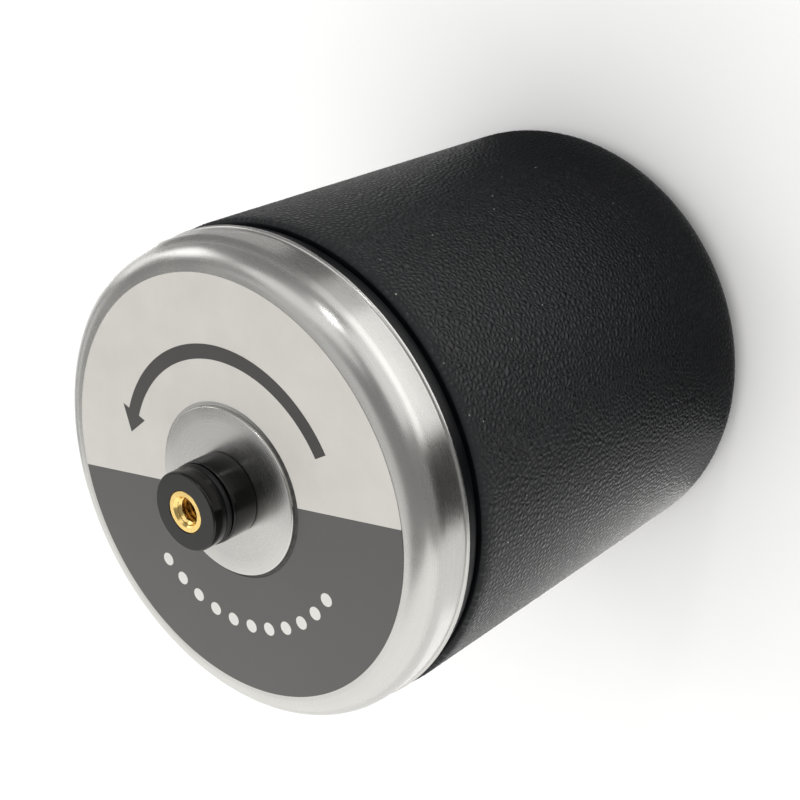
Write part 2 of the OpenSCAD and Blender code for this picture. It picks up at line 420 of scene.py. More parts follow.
def pebble_height(tree, position, size, radius):
    """Leather-like grain, from 0 in the valleys to 1 on the pebbles.

    Rounded cells on the unrolled wall, with fine creases over them. Where the unrolled wall's
    ends meet, at the back, a second pattern takes over. The same nodes drive the real relief
    and the shading.
    """
    flat = add(tree, "ShaderNodeVectorMath", {0: position, 1: (1, 1, 0)}, operation="MULTIPLY")
    reach = add(tree, "ShaderNodeVectorMath", {0: flat}, operation="LENGTH")
    height = add(tree, "ShaderNodeSeparateXYZ", {0: position}).outputs["Z"]
    along = add(tree, "ShaderNodeMath", {0: height, 1: reach}, operation="ADD")
    drift = add(tree, "ShaderNodeTexNoise",
                {"Vector": position, "Scale": 0.5 / size, "Detail": 0.0})
    nudge = add(tree, "ShaderNodeMath", {0: drift, 1: 0.8 * size}, operation="MULTIPLY")
    down = add(tree, "ShaderNodeMath", {0: along, 1: nudge}, operation="SUBTRACT")
    covers = []
    for sense, shift in ((1, 0.0), (-1, 1.0)):
        facing = add(tree, "ShaderNodeVectorMath", {0: position, 1: (sense, sense, 0)},
                     operation="MULTIPLY")
        parts = add(tree, "ShaderNodeSeparateXYZ", {0: facing}).outputs
        angle = add(tree, "ShaderNodeMath", {0: parts["Y"], 1: parts["X"]}, operation="ARCTAN2")
        if not covers:
            front = angle
        start = add(tree, "ShaderNodeMath", {0: nudge, 1: shift}, operation="ADD")
        run = add(tree, "ShaderNodeMath", {0: angle, 1: radius, 2: start}, operation="MULTIPLY_ADD")
        unrolled = add(tree, "ShaderNodeCombineXYZ", {"X": run, "Y": down})
        cells = add(tree, "ShaderNodeTexVoronoi",
                    {"Vector": unrolled, "Scale": 1 / size, "Randomness": 0.92},
                    feature="DISTANCE_TO_EDGE", voronoi_dimensions="2D")
        rounded = add(tree, "ShaderNodeMapRange",
                      {"Value": cells.outputs["Distance"], "From Min": 0.0, "From Max": 0.48},
                      interpolation_type="SMOOTHSTEP")
        covers.append(rounded)
    turned = add(tree, "ShaderNodeMath", {0: front}, operation="ABSOLUTE")
    seam = add(tree, "ShaderNodeMapRange",
               {"Value": turned, "From Min": math.pi - 0.08, "From Max": math.pi - 0.02},
               interpolation_type="SMOOTHSTEP")
    cover = add(tree, "ShaderNodeMix", {"Factor": seam, 2: covers[0], 3: covers[1]},
                data_type="FLOAT")
    creases = add(tree, "ShaderNodeTexNoise",
                  {"Vector": position, "Scale": 2.4 / size, "Detail": 1.0, "Roughness": 0.5})
    fine = add(tree, "ShaderNodeMath", {0: creases, 1: 0.3, 2: -0.15}, operation="MULTIPLY_ADD")
    patches = add(tree, "ShaderNodeTexNoise", {"Vector": position, "Scale": 0.16 / size})
    share = add(tree, "ShaderNodeMapRange",
                {"Value": patches, "From Min": 0.35, "From Max": 0.65,
                 "To Min": 0.75, "To Max": 0.95})
    return add(tree, "ShaderNodeMath", {0: cover, 1: share, 2: fine},
               operation="MULTIPLY_ADD", use_clamp=True)


# ---------------------------------------------------------------- materials

def pebbled_rubber(settings):
    """Compression-moulded black rubber with a leather grain.

    Dull black; the tops of the pebbles are rubbed smoother than the valleys, so they catch a
    soft grey light. A few specks of rock dust sit on it; towards the shoulder they grow larger
    and cover more, a painted highlight along its edge.
    """
    sizes, colours = settings.barrel, settings.colours
    material, tree, shader, position = new_material("pebbled_rubber", IOR=1.52)
    pebbles = pebble_height(tree, position, sizes.grain, sizes.wall_radius)
    film = add(tree, "ShaderNodeTexNoise", CLOUDS | {"Vector": position, "Scale": 1 / (22 * MM)})
    worn = add(tree, "ShaderNodeMapRange", NOISE_RANGE | {"Value": film})
    base = add(tree, "ShaderNodeMix",
               {"Factor": worn, 6: rgba(colours.rubber, 0.8), 7: rgba(colours.rubber, 1.1)},
               data_type="RGBA")
    height = add(tree, "ShaderNodeSeparateXYZ", {0: position}).outputs["Z"]
    shoulder = high("barrel_body").z - sizes.shoulder_drop
    # Painted highlight: towards the shoulder the pale specks grow larger and lighten its edge
    near = add(tree, "ShaderNodeMapRange",
               {"Value": height, "From Min": shoulder - 4 * MM, "From Max": shoulder - 1.5 * MM})
    reach = add(tree, "ShaderNodeMapRange", {"Value": near, "To Min": 0.04, "To Max": 0.085})
    specks = add(tree, "ShaderNodeTexVoronoi", {"Vector": position, "Scale": 1 / (5 * MM)})
    dust_and_highlight = add(tree, "ShaderNodeMapRange",
                {"Value": specks.outputs["Distance"], "From Min": 0.02, "From Max": reach,
                 "To Min": 1.0, "To Max": 0.0})
    add(tree, "ShaderNodeMix", {"Factor": dust_and_highlight, 6: base, 7: rgba(colours.dust)},
        shader.inputs["Base Color"], data_type="RGBA")
    tops = add(tree, "ShaderNodeMapRange",
               {"Value": pebbles, "From Min": 0.1, "From Max": 0.9, "To Min": 0.6, "To Max": 0.37})
    add(tree, "ShaderNodeMath", {0: near, 1: 0.2, 2: tops},
        shader.inputs["Roughness"], operation="MULTIPLY_ADD")
    amount = add(tree, "ShaderNodeAttribute", attribute_name="grain").outputs["Fac"]
    relief = add(tree, "ShaderNodeMath", {0: pebbles, 1: amount}, operation="MULTIPLY")
    pressed = add(tree, "ShaderNodeBump",
                  {"Height": relief, "Distance": sizes.grain_depth * 1.7, "Strength": 1.0})
    fine = add(tree, "ShaderNodeTexNoise",
               {"Vector": position, "Scale": 1 / (0.35 * MM), "Detail": 2.0, "Roughness": 0.6})
    add(tree, "ShaderNodeBump",
        {"Height": fine, "Distance": 0.02 * MM, "Strength": 1.0, "Normal": pressed},
        shader.inputs["Normal"])
    return material


def mouth_shade_rubber(settings):
    """The same rubber on the polished part of the mould, at the collar and the mouth.

    Smooth, and painted darker than the grained rubber: painted shade under the cap's rim and in the
    mouth.
    """
    return mottled("mouth_shade_rubber", settings.colours.rubber, 6 * MM, (0.5, 0.8), (0.3, 0.42),
                   0.5 * MM, 0.012 * MM, IOR=1.52, Specular_IOR_Level=0.2)[0]


def smooth_rubber(settings):
    """Moulded nitrile rubber, as seals are: smooth, black, with a faint bloom."""
    return mottled("smooth_rubber", settings.colours.seal, 3 * MM, (0.8, 1.5), (0.34, 0.5),
                   0.3 * MM, 0.01 * MM, IOR=1.5, Specular_IOR_Level=0.3)[0]


def spun_aluminium(settings):
    """Satin spun aluminium.

    Lines round the axis, left by the spinning tool, draw each highlight out across them, so the
    skirt shows streaks along the axis; handling leaves faint dull patches. The lines are drawn
    0.24 mm apart, coarser than the finest real ones, so that they show.
    """
    material, tree, shader, position = new_material(
        "spun_aluminium", Metallic=1.0, Anisotropic=0.55, Anisotropic_Rotation=0.25)
    base = settings.colours.aluminium
    patches = add(tree, "ShaderNodeTexNoise", CLOUDS | {"Vector": position, "Scale": 1 / (14 * MM)})
    lines = turning_lines(tree, position, 0.24 * MM)
    dull = add(tree, "ShaderNodeMapRange",
               NOISE_RANGE | {"Value": patches, "To Min": 0.226, "To Max": 0.296})
    share = add(tree, "ShaderNodeMapRange", NOISE_RANGE | {"Value": lines})
    add(tree, "ShaderNodeMix",
        {"Factor": share, 6: rgba(base, 0.95), 7: rgba(base, 1.03)},
        shader.inputs["Base Color"], data_type="RGBA")
    add(tree, "ShaderNodeMath", {0: share, 1: 0.028, 2: dull},
        shader.inputs["Roughness"], operation="MULTIPLY_ADD")
    add(tree, "ShaderNodeTangent", None, shader.inputs["Tangent"], direction_type="RADIAL",
        axis="Z")
    add(tree, "ShaderNodeBump", {"Height": lines, "Distance": 0.0009 * MM, "Strength": 0.6},
        shader.inputs["Normal"])
    return material


def gap_shade_aluminium(settings):
    """The same aluminium, with painted shade in the gap round the foot of the raised centre."""
    material, tree, shader, position = new_material("gap_shade_aluminium", Metallic=0.6)
    base = settings.colours.aluminium
    shade_mottle = add(tree, "ShaderNodeTexNoise", CLOUDS | {"Vector": position, "Scale": 1 / (1.5 * MM)})
    share = add(tree, "ShaderNodeMapRange", NOISE_RANGE | {"Value": shade_mottle})
    dark = add(tree, "ShaderNodeMix",
               {"Factor": share, 6: rgba(base, 0.09), 7: rgba(base, 0.22)}, data_type="RGBA")
    down = add(tree, "ShaderNodeVectorMath", {0: position, 1: (0.85, -0.53, 0)},
               operation="DOT_PRODUCT")
    # Painted shade: the gap turns darker towards +X and -Y
    shaded_side = add(tree, "ShaderNodeMapRange",
                  {"Value": down, "From Min": -6 * MM, "From Max": 9 * MM})
    add(tree, "ShaderNodeMix", {"Factor": shaded_side, 6: rgba(base, 0.8), 7: dark},
        shader.inputs["Base Color"], data_type="RGBA")
    add(tree, "ShaderNodeMapRange",
        NOISE_RANGE | {"Value": shade_mottle, "To Min": 0.5, "To Max": 0.7}, shader.inputs["Roughness"])
    add(tree, "ShaderNodeBump", {"Height": shade_mottle, "Distance": 0.03 * MM, "Strength": 1.0},
        shader.inputs["Normal"])
    return material


def bore_shade_brass(settings):
    """The same brass down the thread, in painted shade: darker and more mottled than the turned
    face.
    """
    return mottled("bore_shade_brass", settings.colours.brass_in_shade, 0.9 * MM, (0.25, 1.3),
                   (0.2, 0.36), 0.9 * MM, 0.01 * MM, Metallic=1.0)[0]


def printed_film(name, shade):
    """Satin polyester label film, screen printed: even colour, a slight orange-peel gloss."""
    return mottled(name, shade, 9 * MM, (0.965, 1.03), (0.34, 0.42), 0.6 * MM, 0.004 * MM,
                   0.6, IOR=1.57)[0]


def zinc_plate(settings, name, spacing, depth):
    """Bright zinc-plated steel: cool silver, softly cloudy, with the marks of its forming."""
    return lathed(name, settings.colours.zinc, 4 * MM, (0.82, 1.05), spacing, (0.24, 0.38),
                  depth, 0.6, Metallic=1.0)


def moulded_plastic(settings):
    """Injection-moulded black ABS: deep gloss on the sides, with faint handling scuffs."""
    return mottled("moulded_plastic", settings.colours.knob, 2.5 * MM, (0.85, 1.25),
                   (0.1, 0.17), 1.1 * MM, 0.012 * MM, 0.5, IOR=1.54, Specular_IOR_Level=0.3)[0]


def satin_plastic(settings):
    """The knob's front face: the same ABS, faced off, so it is duller and greyer."""
    return lathed("satin_plastic", settings.colours.knob_face, 2.5 * MM, (0.9, 1.1),
                  0.16 * MM, (0.36, 0.48), 0.008 * MM, 0.6, IOR=1.54, Specular_IOR_Level=0.35)


def machined_brass(settings):
    """Free-cutting brass, turned and tapped: warm and bright, with fine tool lines."""
    return lathed("machined_brass", settings.colours.brass, 1.6 * MM, (0.86, 1.06),
                  0.12 * MM, (0.14, 0.26), 0.006 * MM, 0.7, Metallic=1.0)


def natural_nylon(settings):
    """Natural nylon sheet: milky, with a soft waxy gloss."""
    material, shader = mottled(
        "natural_nylon", settings.colours.nylon, 2 * MM, (0.93, 1.03), (0.36, 0.46), 0.4 * MM,
        0.01 * MM, 0.5, IOR=1.53, Subsurface_Weight=0.15, Subsurface_Scale=1.0)
    shader.inputs["Subsurface Radius"].default_value = (1.2 * MM, 1.0 * MM, 0.8 * MM)
    return material


def matt_floor(settings):
    """Pale matt laminate: nearly white, with a barely visible mottle."""
    shade = settings.stage.floor
    return mottled("matt_floor", shade, 60 * MM, (0.985, 1.0), (0.78, 0.84), 1 * MM,
                   0.01 * MM, 0.2, IOR=1.45, Specular_IOR_Level=0.0)[0]


# ---------------------------------------------------------------- pieces

def emboss(piece, sizes):
    """Presses the grain into the mesh where its grain attribute says so."""
    group = bpy.data.node_groups.new("pebble_relief", "GeometryNodeTree")
    group.interface.new_socket("Geometry", in_out="INPUT", socket_type="NodeSocketGeometry")
    group.interface.new_socket("Geometry", in_out="OUTPUT", socket_type="NodeSocketGeometry")
    entry = add(group, "NodeGroupInput")
    position = add(group, "GeometryNodeInputPosition")
    normal = add(group, "GeometryNodeInputNormal")
    amount = add(group, "GeometryNodeInputNamedAttribute", {"Name": "grain"}, data_type="FLOAT")
    height = pebble_height(group, position, sizes.grain, sizes.wall_radius)
    below = add(group, "ShaderNodeMath", {0: height, 1: -1.0}, operation="ADD")
    weighed = add(group, "ShaderNodeMath", {0: below, 1: amount}, operation="MULTIPLY")
    shift = add(group, "ShaderNodeMath", {0: weighed, 1: sizes.grain_depth}, operation="MULTIPLY")
    offset = add(group, "ShaderNodeVectorMath", {0: normal, "Scale": shift}, operation="SCALE")
    moved = add(group, "GeometryNodeSetPosition", {"Geometry": entry, "Offset": offset})
    add(group, "NodeGroupOutput", {0: moved})
    modifier = piece.modifiers.new("grain", "NODES")
    modifier.node_group = group
    shaped = bpy.data.meshes.new_from_object(
        piece.evaluated_get(bpy.context.evaluated_depsgraph_get()))
    piece.modifiers.clear()
    piece.data = shaped


def cavity_radius(columns, flat):
    """Radius of the ten-sided cavity for each column, with its corners blunted."""
    side = TURN / 10
    sharp = flat / np.cos(around(columns) % side - side / 2)
    corner = flat / math.cos(side / 2)
    blunt = flat + (corner - flat) * 0.6
    return np.minimum(sharp, blunt)


def barrel_rows(sizes, columns):
    """Section of the barrel, from the middle of the closed end, up the outside, into the mouth
    and down to the middle of the cavity's floor; with each row goes how strong its grain is."""
    wall, top = sizes.wall_radius, high("barrel_body").z
    shoulder = top - sizes.shoulder_drop
    collar_top = low("outer_lid").z - 0.5 * MM
    ledge = top - sizes.ledge_drop
    ceiling = ledge - sizes.throat_height
    throat, throat_round = sizes.throat_radius, 3 * MM
    recess = high("inner_lid").x + 0.4 * MM
    neck, collar, edge = sizes.neck_radius, sizes.collar_radius, sizes.collar_round
    end, bend = sizes.end_round, sizes.shoulder_round
    bottom = sizes.floor_thickness
    fillet, dimple = 2.5 * MM, 0.9 * MM
    rows, grain = [], []

    def run(part, strength=0.0):
        rows.extend(part)
        grain.extend([strength] * len(part))

    flat = wall - end
    # Dimple of the mould's gate, closed end, its edge and the wall
    run([Row(r * MM, dimple) for r in (0, 2, 3.4)])
    run([Row(r * MM, z * MM) for r, z in ((3.9, 0.75), (4.3, 0.15), (4.8, 0))])
    run([Row(flat * share, 0) for share in (0.2, 0.35, 0.5, 0.65, 0.8, 0.93)])
    around_end = arc(flat, end, end, -90, 0, 20)
    rows.extend(around_end)
    grain.extend(min(1.0, max(0.0, (i - 3) / 8)) for i in range(len(around_end)))
    # The wall's rows are as far apart as its columns, close enough to carry the grain
    run(rise(wall, end, shoulder - bend, 0.56 * MM), 1.0)
    # Shoulder, groove, collar and neck
    over_shoulder = arc(wall - bend, shoulder - bend, bend, 0, 90, 6)
    rows.extend(over_shoulder)
    grain.extend(1.0 - 0.16 * i for i in range(len(over_shoulder)))
    run([Row(neck + 0.25 * MM, shoulder)])
    run([Row(neck, shoulder + 0.25 * MM), Row(neck, shoulder + sizes.groove_width)])
    run(arc(collar - edge, shoulder + sizes.groove_width + edge, edge, -90, 0, 5))
    run(arc(collar - edge, collar_top - edge, edge, 0, 90, 5))
    run([Row(neck, collar_top)])
    # Lip, recess of the inner lid, ledge and throat
    run(arc(neck - sizes.lip_round, top - sizes.lip_round, sizes.lip_round, 0, 90, 10))
    run(arc(recess + 0.5 * MM, top - 0.5 * MM, 0.5 * MM, 90, 180, 4))
    run([Row(recess, ledge + 0.6 * MM)])
    run(arc(recess - 0.5 * MM, ledge + 0.5 * MM, 0.5 * MM, 0, -90, 4)[1:])
    run(arc(throat + 0.8 * MM, ledge - 0.8 * MM, 0.8 * MM, 90, 180, 5))
    run(arc(throat + throat_round, ceiling + throat_round, throat_round, 180, 270, 8))
    # Ceiling, walls and floor of the ten-sided cavity
    side = cavity_radius(columns, sizes.cavity_flat)
    for angle in range(0, 91, 30):
        a = math.radians(angle)
        run([Row(side - 0.8 * MM * (1 - math.sin(a)), ceiling - 0.8 * MM * (1 - math.cos(a)))])
    run([Row(side, bottom + fillet + (ceiling - bottom - fillet) * share)
         for share in (0.75, 0.5, 0.25)])
    for angle in range(0, 91, 15):
        a = math.radians(angle)
        run([Row(side - fillet * (1 - math.cos(a)), bottom + fillet * (1 - math.sin(a)))])
    run([Row((side - fillet) * share, bottom) for share in (0.75, 0.5, 0.25)])
    run([Row(0, bottom)])
    return rows, grain


def make_barrel(settings):
    """Moulded barrel: one closed skin, with real grain on its wall."""
    columns = 640
    rows, grain = barrel_rows(settings.barrel, columns)
    piece = turn("barrel_skin", rows, columns)
    strengths = []
    for row, strength in zip(rows, grain):
        strengths.extend([strength] * (1 if on_axis(row) else columns))
    attribute = piece.data.attributes.new("grain", "FLOAT", "POINT")
    attribute.data.foreach_set("value", strengths)
    emboss(piece, settings.barrel)
    place(piece, "barrel", "barrel_rubber", "barrel_body", pebbled_rubber(settings),
          mouth_shade_rubber(settings))
    shoulder = high("barrel_body").z - settings.barrel.shoulder_drop
    # From the shoulder up, the smooth rubber in painted shade
    paint(piece, lambda centre: 1 if centre.z > shoulder - 0.1 * MM else 0)


def make_inner_lid(settings):
    """Pressed tray with a rounded corner, a stiffening rib and a rolled rim."""
    lids = settings.lids
    outer, bottom, top = high("inner_lid").x, low("inner_lid").z, high("inner_lid").z
    sheet, bend = 1.2 * MM, 2 * MM
    panel = bottom + sheet

    def rib(height, inwards):
        steps = 12
        rows = []
        for i in range(steps + 1):
            share = i / steps * 2 - 1
            lift = lids.rib_height * 0.5 * (1 + math.cos(math.pi * share))
            rows.append(Row(lids.rib_radius + share * lids.rib_half_width, height + lift))
        return rows[::-1] if inwards else rows

    edge = sheet / 2
    rows = [Row(lids.stud_hole, bottom + 0.2 * MM), Row(lids.stud_hole + 0.2 * MM, bottom)]
    rows += [Row(r * MM, bottom) for r in (9, 16, 24)] + rib(bottom, False)
    rows += [Row(38 * MM, bottom)]
    rows += arc(outer - bend, bottom + bend, bend, -90, 0, 8)
    rows += arc(outer - edge, top - edge, edge, 0, 180, 10)
    rows += arc(outer - bend, bottom + bend, bend - sheet, 0, -90, 6)
    rows += [Row(38 * MM, panel)] + rib(panel, True)
    rows += [Row(r * MM, panel) for r in (24, 16, 9)]
    rows += [Row(lids.stud_hole + 0.2 * MM, panel), Row(lids.stud_hole, panel - 0.2 * MM)]
    piece = turn("inner_lid_pressing", rows, 240, closed=True)
    place(piece, "inner_lid", "inner_lid_steel", "inner_lid",
          zinc_plate(settings, "zinc_sheet", 0.5 * MM, 0.01 * MM))


def hex_rows(across, bottom, top, columns):
    """Rows up a hexagon whose corners are turned down at both ends."""
    flats = hexagon(columns, across)
    steps, depth, slope = 6, 0.66 * MM, math.tan(math.radians(60))
    levels = [depth * i / steps for i in range(steps + 1)]
    radii = [np.minimum(flats, across / 2 * 0.97 + level * slope) for level in levels]
    return ([Row(radius, bottom + level) for radius, level in zip(radii, levels)]
            + [Row(radius, top - level) for radius, level in zip(radii[::-1], levels[::-1])])


def make_stud(settings):
    """Stud with a hexagon head and a rolled thread, and the pieces that clamp and seal it."""
    sizes = settings.stud
    steel = zinc_plate(settings, "zinc_bolt", 0.2 * MM, 0.008 * MM)
    rubber = smooth_rubber(settings)
    columns = 96
    base, tip = low("lid_stud").z, high("lid_stud").z
    head_top = base + sizes.head_height
    rows = [Row(0, base + 0.25 * MM), Row(3.6 * MM, base + 0.25 * MM), Row(4.2 * MM, base)]
    rows += hex_rows(sizes.across_flats, base, head_top, columns)
    rows += [Row(3.6 * MM, head_top), Row(sizes.root, head_top)]
    steps = round((tip - head_top) / (PITCH / 12))
    for i in range(1, steps + 1):
        z = head_top + (tip - head_top) * i / steps
        taper = sizes.crest - max(0.0, 0.7 * MM - (tip - z))
        rows.append(Row(np.minimum(thread(columns, z, sizes.root, sizes.crest), taper), z))
    rows += [Row(1.2 * MM, tip), Row(0, tip - 0.1 * MM)]
    stud = turn("stud_bolt", rows, columns)
    place(stud, "inner_lid", "fastener_steel", "lid_stud", steel)

    make_washer("stud_gasket_disc", "inner_lid", "seal_rubber", "stud_gasket", sizes.crest,
                0.35 * MM, rubber)
    make_washer("stud_flat_washer", "inner_lid", "fastener_steel", "stud_washer",
                settings.lids.stud_hole, 0.2 * MM, steel)

    nut_low, nut_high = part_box("stud_nut")
    bore = [Row(sizes.crest + 0.55 * MM, nut_high.z), Row(sizes.crest, nut_high.z - 0.5 * MM),
            Row(sizes.crest, nut_low.z + 0.5 * MM), Row(sizes.crest + 0.55 * MM, nut_low.z)]
    nut = turn("stud_hex_nut",
               hex_rows(sizes.across_flats, nut_low.z, nut_high.z, columns) + bore,
               columns, closed=True)
    place(nut, "inner_lid", "fastener_steel", "stud_nut", steel)

    make_ring("stud_seal_ring", "inner_lid", "stud_seal", rubber)


def make_washer(name, body, slot, node, hole, edge, material):
    """Flat ring with softened edges."""
    ring_low, ring_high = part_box(node)
    rows = ring_rows(hole, ring_high.x, ring_low.z, ring_high.z, edge)
    place(turn(name, rows, 96, closed=True), body, slot, node, material)


def make_ring(name, body, node, rubber):
    """Rubber ring of round section, with the fine line where its mould parted."""
    ring_low, ring_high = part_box(node)
    radius = (ring_high.z - ring_low.z) / 2
    middle, level = ring_high.x - radius, ring_low.z + radius
    rows = []
    flash = 0.03 * MM
    for degrees in range(0, 360, 15):
        reach = radius if degrees % 180 == 0 else radius - flash
        angle = math.radians(degrees)
        rows.append(Row(middle + reach * math.cos(angle), level + reach * math.sin(angle)))
    piece = turn(name, rows, 160, closed=True)
    place(piece, body, "seal_rubber", node, rubber)


def make_outer_lid(settings):
    """Spun cap: face, raised centre, rounded corner, skirt and beaded edge, in one thickness."""
    lids = settings.lids
    face, boss_top = low("face_label").z, high("outer_lid").z
    bead = lids.bead_radius
    skirt = high("outer_lid").x - lids.bead_proud
    bottom = low("outer_lid").z
    inner, metal, bend = skirt - lids.metal, lids.metal, lids.cap_round
    boss, soft = lids.boss_radius, 0.4 * MM
    step = boss_top - face
    bead_radius = skirt + lids.bead_proud - bead
    rows = [Row(inner + 0.15 * MM, bottom + bead), Row(inner, bottom + bead + 0.15 * MM)]
    rows += arc(skirt - bend, face - bend, bend - metal, 0, 90, 12)
    rows += [Row(r * MM, face - metal) for r in (42, 34, 26)]
    rows += arc(boss - metal + 0.4 * MM, face - metal + 0.4 * MM, 0.4 * MM, -90, -180, 4)
    rows += [Row(boss - metal, face - metal + step - 0.2 * MM),
             Row(boss - metal - 0.2 * MM, face - metal + step)]
    rows += [Row(lids.stud_hole + 0.15 * MM, boss_top - metal),
             Row(lids.stud_hole, boss_top - metal + 0.15 * MM),
             Row(lids.stud_hole, boss_top - 0.15 * MM), Row(lids.stud_hole + 0.15 * MM, boss_top)]
    rows += [Row(r * MM, boss_top) for r in (8, 12, 16)]
    rows += arc(boss - soft, boss_top - soft, soft, 90, 0, 6)
    rows += arc(boss + 0.3 * MM, face + 0.3 * MM, 0.3 * MM, 180, 270, 4)
    rows += [Row(settings.label.hole, face)]
    rows += [Row(r * MM, face) for r in (26, 34, 42)]
    rows += arc(skirt - bend, face - bend, bend, 90, 0, 24)
    rows += [Row(skirt, bottom + 2.6 * bead)]
    rows += arc(bead_radius, bottom + bead, bead, 80, -180, 18)
    piece = turn("cap_spinning", rows, 360, closed=True)
    place(piece, "outer_lid", "cap_metal", "outer_lid", spun_aluminium(settings),
          gap_shade_aluminium(settings))
    gap = settings.label.hole

    # Faces in the gap round the foot of the raised centre take the aluminium in painted shade
    def in_shaded_gap(centre):
        reach = math.hypot(centre.x, centre.y)
        return boss - 0.05 * MM < reach < gap and face - 0.3 * MM < centre.z < boss_top - 0.7 * MM

    paint(piece, lambda centre: 1 if in_shaded_gap(centre) else 0)


def make_label(settings):
    """Two-tone film label, cut exactly along its split line, with generic printed marks."""
    sizes, colours = settings.label, settings.colours
    box_low, box_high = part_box("face_label")
    outer, inner = box_high.x, sizes.hole
    half = 128
    edge = 0.05 * MM
    section = ([(inner, box_low.z), (inner, box_high.z - edge), (inner + edge, box_high.z)]
               + [(inner + (outer - inner) * i / 8, box_high.z) for i in range(1, 8)]
               + [(outer - edge, box_high.z), (outer, box_high.z - edge), (outer, box_low.z)])
    points, faces, slots = [], [], []
    columns = 2 * half
    for radius, height in section:
        slip = math.asin(sizes.split_offset / radius)
        for i in range(columns):
            spare = slip if i < half else -slip
            share = (i % half) / half
            start = -slip if i < half else math.pi + slip
            sweep = math.pi + 2 * spare
            angle = sizes.split_angle + start + sweep * share
            points.append((radius * math.cos(angle), radius * math.sin(angle), height))
    rings = len(section)
    for k in range(rings):
        for i in range(columns):
            j, n = (i + 1) % columns, (k + 1) % rings
            faces.append([k * columns + i, k * columns + j, n * columns + j, n * columns + i])
            slots.append(0 if i < half else 1)
    film = piece_from("label_film", points, faces)
    for face, slot in zip(film.data.polygons, slots):
        face.material_index = slot
    place(film, "outer_lid", "label_foil", "face_label",
          printed_film("light_film", colours.film_light),
          printed_film("dark_film", colours.film_dark))

    marks = piece_from("label_marks", *label_marks(sizes, box_high.z))
    place(marks, "outer_lid", "label_foil", "face_label",
          printed_film("dark_ink", colours.ink_dark),
          printed_film("light_ink", colours.ink_light))
    paint(marks, lambda centre: 0 if centre.y > 0 else 1)


def label_marks(sizes, height):
    """Ink marks just over the film: a turning arrow in the light half, dots in the dark one."""
    points, faces = [], []
    top = height + 0.02 * MM

    def flat(outline):
        start = len(points)
        points.extend((x, y, top) for x, y in outline)
        faces.append(list(range(start, start + len(outline))))

    def on_circle(radius, degrees):
        angle = sizes.split_angle + math.radians(degrees)
        return radius * math.cos(angle), radius * math.sin(angle)

    first, last, steps = 22, 152, 65
    inner = sizes.arrow_radius - sizes.arrow_width / 2
    outer = sizes.arrow_radius + sizes.arrow_width / 2
    for i in range(steps):
        a = first + (last - first) * i / steps
        b = first + (last - first) * (i + 1) / steps
        flat([on_circle(inner, a), on_circle(outer, a), on_circle(outer, b), on_circle(inner, b)])
    flat([on_circle(sizes.arrow_radius - 2.2 * sizes.arrow_width / 2, last),
          on_circle(sizes.arrow_radius + 2.2 * sizes.arrow_width / 2, last),
          on_circle(sizes.arrow_radius, last + 10)])
    for i in range(sizes.dots):
        x, y = on_circle(sizes.arrow_radius + 1 * MM, 220 + 100 * i / (sizes.dots - 1))
        flat([(x + sizes.dot_radius * math.cos(TURN * k / 32),
               y + sizes.dot_radius * math.sin(TURN * k / 32)) for k in range(32)])
    return points, faces


def make_knob(settings):
    """Knob with its washer, threaded insert and ring."""
    sizes, stud = settings.knob, settings.stud
    base, face = low("knob_body").z, high("knob_body").z
    rear, head, edge = high("knob_body").x, sizes.head_radius, sizes.edge
    insert = high("knob_insert").x
    ring_low, ring_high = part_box("knob_ring")
    ring_inside = ring_high.x - (ring_high.z - ring_low.z)
    groove = ring_inside - 0.02 * MM
    groove_low, groove_high = base + sizes.rear_length, ring_high.z + 0.02 * MM
    recess_top = base + sizes.counterbore_depth
    rows = [Row(insert, recess_top), Row(insert, face - 0.2 * MM), Row(insert + 0.12 * MM, face)]
    rows += [Row(insert + (head - insert) * share, face) for share in (0.3, 0.6, 0.85)]
    rows += arc(head - edge, face - edge, edge, 90, 0, 5)
    rows += arc(head - 0.3 * MM, groove_high + 0.3 * MM, 0.3 * MM, 0, -90, 4)
    rows += [Row(groove, groove_high), Row(groove, groove_low)]
    rows += arc(rear - edge, groove_low - edge, edge, 90, 0, 5)
    rows += arc(rear - 0.3 * MM, base + 0.3 * MM, 0.3 * MM, 0, -90, 4)
    rows += arc(sizes.counterbore + 0.2 * MM, base + 0.2 * MM, 0.2 * MM, 270, 180, 3)
    rows += [Row(sizes.counterbore, recess_top)]
    knob = turn("knob_moulding", rows, 192, closed=True)
    place(knob, "knob", "knob_plastic", "knob_body", moulded_plastic(settings),
          satin_plastic(settings))
    paint(knob, lambda centre: 1 if centre.z > face - 0.02 * MM else 0)

    brass_base, brass_face = low("knob_insert").z, high("knob_insert").z
    columns = 96
    crest, root = stud.crest + stud.play, stud.root + stud.play
    rows = [Row(insert, brass_base), Row(insert, brass_face - 0.15 * MM),
            Row(insert - 0.15 * MM, brass_face), Row(sizes.mouth_radius, brass_face)]
    steps = round((brass_face - brass_base) / (PITCH / 12))
    for i in range(1, steps + 1):
        z = brass_face - (brass_face - brass_base) * i / steps
        cone = max(sizes.mouth_radius - (brass_face - z), crest - (z - brass_base))
        rows.append(Row(np.maximum(thread(columns, z, root, crest), cone), z))
    brass = turn("knob_threaded_insert", rows, columns, closed=True)
    place(brass, "knob", "insert_brass", "knob_insert", machined_brass(settings),
          bore_shade_brass(settings))
    # Faces more than 1.5 mm down the bore take the brass in painted shade
    paint(brass, lambda centre: 1 if centre.z < brass_face - 1.5 * MM else 0)

    make_ring("knob_rubber_ring", "knob", "knob_ring", smooth_rubber(settings))

    make_washer("knob_nylon_washer", "knob_washer", "washer_nylon", "knob_washer",
                settings.lids.stud_hole, 0.2 * MM, natural_nylon(settings))


# ---------------------------------------------------------------- stage

